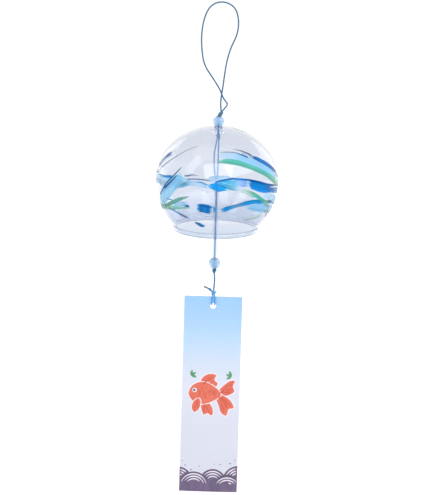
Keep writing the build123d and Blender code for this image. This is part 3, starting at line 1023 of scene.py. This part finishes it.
def arc(x, z, radius, start, end, width, parts=26):
    """The outline of an arc that thins out towards both ends."""
    line, widths = [], []
    for i in range(parts + 1):
        turn = radians(start + (end - start) * i / parts)
        line.append((x + radius * cos(turn), z + radius * sin(turn)))
        widths.append(width * (0.25 + 0.75 * sin(pi * i / parts)))
    return band(line, widths)


strip_piece()

INK = {name: ink_material("ink_" + name, *look) for name, *look in (
    ("red", (224, 100, 78), (238, 128, 106)), ("deep_red", (206, 84, 70), (222, 104, 88)),
    ("white", (246, 238, 246), (252, 248, 252)), ("green", (84, 150, 108), (116, 178, 136), 700),
    ("purple", (98, 84, 116), (122, 106, 140)), ("dark", (84, 72, 98), (104, 92, 118), 500),
    ("pale", (234, 228, 244), (246, 242, 250), 700),
)}

MOTIF = (0.0, -265.0)  # the fish's place on the strip
FISH = """
tail_upper: 4.6 3, 8.2 7, 12.2 10.2, 15.6 10.4, 14.4 6.8, 15.4 3.2, 11.4 .8, 6.6 .2;
tail_lower: 4.4 1.4, 8.8 .2, 13 -2.8, 15.4 -7.6, 12.2 -8.6, 10.6 -13, 7.2 -11, 5.6 -6.6, 4 -2.2;
back_fin: -7.4 7.4, -5.4 12.4, -1.4 14.8, 3.2 14.2, 2.2 11, 4.4 8.4, 2.2 5.6, -2.4 7;
belly_fin: -4.4 -3.8, -1 -4.6, 1.6 -8.8, 1.2 -13, -1.8 -11.6, -4.2 -12.6, -5.8 -8.6, -6.2 -5;
body: -14.4 2.4, -12.2 6.6, -7.6 9.2, -2 8.8, 2.8 6, 6.2 2.8, 6.4 .2, 3.2 -2.4, -1.2 -4.6, -6.4 -5.6,
  -11 -4, -13.8 -.6;
breast_fin: -7.6 -1.8, -6.4 -4.6, -7.6 -9, -10.6 -11, -12.2 -7.6, -10.8 -3.6
"""


def grown(outline, amount):
    """The outline moved outwards, for the pale edge around a print."""
    area = sum(a[0] * b[1] - b[0] * a[1] for a, b in zip(outline, outline[1:] + outline[:1]))
    sign = 1 if area > 0 else -1
    result = []
    for i, (x, z) in enumerate(outline):
        a, b = outline[i - 1], outline[(i + 1) % len(outline)]
        run = Vector((b[0] - a[0], b[1] - a[1])).normalized()
        result.append((x + run.y * amount * sign, z - run.x * amount * sign))
    return result


for index, entry in enumerate(FISH.split(";")):
    part, corners = entry.strip().split(":")
    shape = closed_curve(numbers(corners))
    printed("print_edge_" + part, [moved(grown(shape, 0.55), *MOTIF)], "white", index * 0.6)
    printed("print_fish_" + part, [moved(shape, *MOTIF)], "red", index * 0.6 + 0.3)

# Root and tip of each fin ray, and where each scale is.
RAYS = numbers("""
  6 2.2 13.6 8.8, 6 2.2 13.8 5.2, 6 2.2 12.6 2.4, 5.2 0 13.4 -6.4, 5.2 0 11 -7.6, 5.2 0 9.4 -11.4,
  -4.8 7.6 -2.2 12.8, -4.8 7.6 .8 12.8, -1 7.6 2 9.4, -4.2 -5.4 -3.8 -10.8, -4.2 -5.4 -.6 -11.2,
  -8.4 -3.4 -10 -8.8, -8.4 -3.4 -8.2 -8.6
""")
SCALES = numbers("-4.4 5.2, -1.2 5.4, 1.8 3.8, -5.4 2.2, -2.4 2.6, .6 1.8, 3.2 1.8, -4.6 -.8, -1.6 -.6")
marks = []
for x0, z0, x1, z1 in RAYS:
    line = [(x0 + (x1 - x0) * t, z0 + (z1 - z0) * t + sin(pi * t) * 0.5) for t in (i / 10 for i in range(11))]
    marks.append(band(line, [0.1 + 0.24 * sin(pi * i / 10) for i in range(11)]))
marks += [arc(x, z, 1.5, 120, 240, 0.2) for x, z in SCALES]
marks.append(arc(-11.6, 1.4, 4.4, -58, 50, 0.34))
printed("print_fish_rays", [moved(mark, *MOTIF) for mark in marks], "deep_red", 5)


def disc(x, z, radius):
    return [(x + radius * cos(a * pi / 8), z + radius * sin(a * pi / 8)) for a in range(16)]


printed("print_fish_eye_white", [moved(disc(-10.6, 3.8, 1.5), *MOTIF)], "white", 5)
printed("print_fish_eye", [moved(disc(-10.8, 3.8, 0.85), *MOTIF)], "dark", 6)

LEAF = closed_curve([(0, 0), (1.1, 1.0), (2.6, 1.2), (4.0, 0.4), (2.6, -0.5), (1.1, -0.6)])
for side, x, turn in (("left", -13.2, 25), ("right", 13.4, 155)):
    leaves = [moved(LEAF, x, -251.4, turn + t, 0.95) for t in (-48, 0, 48)]
    printed(f"print_leaf_{side}", leaves, "green", 1)

# Middle, height and radius of each.
HILLS = numbers("-21 5 11.6, 3 6.6 8.8, 20.5 6.4 11.6, -9.5 3.2 10.2, 12.5 1.6 9.6")
SPRAY = numbers("""
  -15.5 17.6 .42, -6.2 17.2 .36, 7.6 18.6 .4, 14.2 19.4 .5, -11.6 14.6 .5, 17.2 21.8 .34, 3.6 18.8 .3,
  -17.4 20.6 .3
""")


def waves():
    """Round wave hills with pale lines inside and dark ones at their crests. Each hides what is behind."""
    def top(x):
        return max(h + sqrt(r * r - (x - c) ** 2) if abs(x - c) < r else 0 for c, h, r in HILLS)

    def ribbons(runs, width):
        return [band(run, [width * (0.3 + 0.7 * sin(pi * i / (len(run) - 1))) for i in range(len(run))])
                for run in runs]

    edge = [(i * 0.25, STRIP_BOTTOM + max(3.0, top(i * 0.25))) for i in range(-76, 77)]
    foot = [(STRIP_HALF, STRIP_BOTTOM + 0.05), (-STRIP_HALF, STRIP_BOTTOM + 0.05)]
    printed("print_waves", [edge + foot], "purple", 0)
    crests, inside = [], []
    for k, (cx, cz, r) in enumerate(HILLS):
        for inset in (0.35, 1.55, 3.2, 4.9):
            runs = [[]]
            for i in range(0, 181, 2):
                turn = radians(i)
                x, z = cx + (r - inset) * cos(turn), cz + (r - inset) * sin(turn)
                hidden = any((x - a) ** 2 + (z - b) ** 2 < (c + 0.5) ** 2 for a, b, c in HILLS[k + 1:])
                if abs(x) < 18.6 and z > 6.2 + 0.8 * sin(x * 0.7) and not hidden:
                    runs[-1].append((x, STRIP_BOTTOM + z))
                else:
                    runs.append([])
            (crests if inset < 1 else inside).extend(run for run in runs if len(run) > 5)
    printed("print_wave_lines", ribbons(inside, 0.42), "pale", 2)
    printed("print_wave_crests", ribbons(crests, 0.4), "dark", 2)
    printed("print_wave_spray", [
        closed_curve([(x + r * cos(a), STRIP_BOTTOM + z + r * sin(a)) for a in (0, 1.57, 3.14, 4.71)], 5)
        for x, z, r in SPRAY], "dark", 1)


waves()


# Floor, world and lamps

def white_for_rays(tree, level):
    """One where a camera, glossy or transmission ray looks, and the level for all other light."""
    rays = tree.nodes.new("ShaderNodeLightPath").outputs
    seen = combined(tree, "MAXIMUM", rays["Is Camera Ray"], rays["Is Glossy Ray"])
    seen = combined(tree, "MAXIMUM", seen, rays["Is Transmission Ray"])
    return mapped(tree, seen, target=(level, 1))


WORLD_LEVEL = 0.42


def make_world():
    world = bpy.data.worlds.new("studio")
    bpy.context.scene.world = world
    world.use_nodes = True
    tree = world.node_tree
    background = tree.nodes["Background"]
    background.inputs["Color"].default_value = (1, 1, 1, 1)
    tree.links.new(white_for_rays(tree, WORLD_LEVEL), background.inputs["Strength"])


FLOOR_HALF, FLOOR_Z = 30.0, -0.42  # metres
NEAR, FAR = 0.3, 3.0
NEAR_GLOW, FAR_GLOW = 0.36, 0.64  # the light that the floor gives off itself, so that it shows white


def make_floor():
    mesh = bpy.data.meshes.new("floor")
    corners = [(x * FLOOR_HALF, y * FLOOR_HALF, FLOOR_Z) for x, y in ((-1, -1), (1, -1), (1, 1), (-1, 1))]
    mesh.from_pydata(corners, [], [(0, 1, 2, 3)])
    made = Shader("floor", Base_Color=(0.82, 0.82, 0.82, 1), Roughness=0.9, Emission_Color=(1, 1, 1, 1),
                  Specular_IOR_Level=0.0)
    distance = made.node("VectorMath")
    distance.operation = "LENGTH"
    made.link(made.node("TexCoord").outputs["Object"], distance.inputs[0])
    glow = mapped(made.tree, distance.outputs["Value"], (NEAR, FAR), (NEAR_GLOW, FAR_GLOW))
    made.feed(combined(made.tree, "MULTIPLY", white_for_rays(made.tree, 0), glow), "Emission Strength")
    mesh.materials.append(made.material)
    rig.stage(in_scene("floor", mesh))


def make_lamp(name, azimuth, elevation, distance, size, power, mirrored=True):
    """A soft lamp that looks at the bell from a direction, azimuth 0 being the front and 90 the right."""
    data = bpy.data.lights.new(name, "AREA")
    data.shape = "RECTANGLE"
    data.size, data.size_y = size
    data.energy = power
    turn, rise = radians(azimuth), radians(elevation)
    way = Vector((sin(turn) * cos(rise), -cos(turn) * cos(rise), sin(rise)))
    lamp = in_scene(name, data)
    lamp.location = Vector((0, 0, -0.12)) + way * distance
    lamp.rotation_euler = way.to_track_quat("Z", "Y").to_euler()
    lamp.visible_glossy = mirrored


make_world()
make_floor()
make_lamp("softbox_front", 3, 40, 1.6, (1.55, 0.95), 10.2)
make_lamp("softbox_right", 61, 42, 1.6, (1.8, 0.95), 11.5)
make_lamp("softbox_left", -62, 43, 1.6, (0.5, 1.0), 5.0, mirrored=False)
make_lamp("fill_left", -135, 10, 1.8, (1.4, 1.1), 7.5, mirrored=False)
make_lamp("fill_right", 135, 10, 1.8, (1.4, 1.1), 7.5, mirrored=False)

bpy.context.scene.view_settings.view_transform = "Standard"
cycles = bpy.context.scene.cycles
cycles.max_bounces = cycles.transmission_bounces = cycles.glossy_bounces = 24  # passes all walls of glass

with open("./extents.json", "w") as out:
    json.dump({"cad": [list(corner) for corner in cad_box], "visual": [list(corner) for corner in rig.bounds()]}, out)
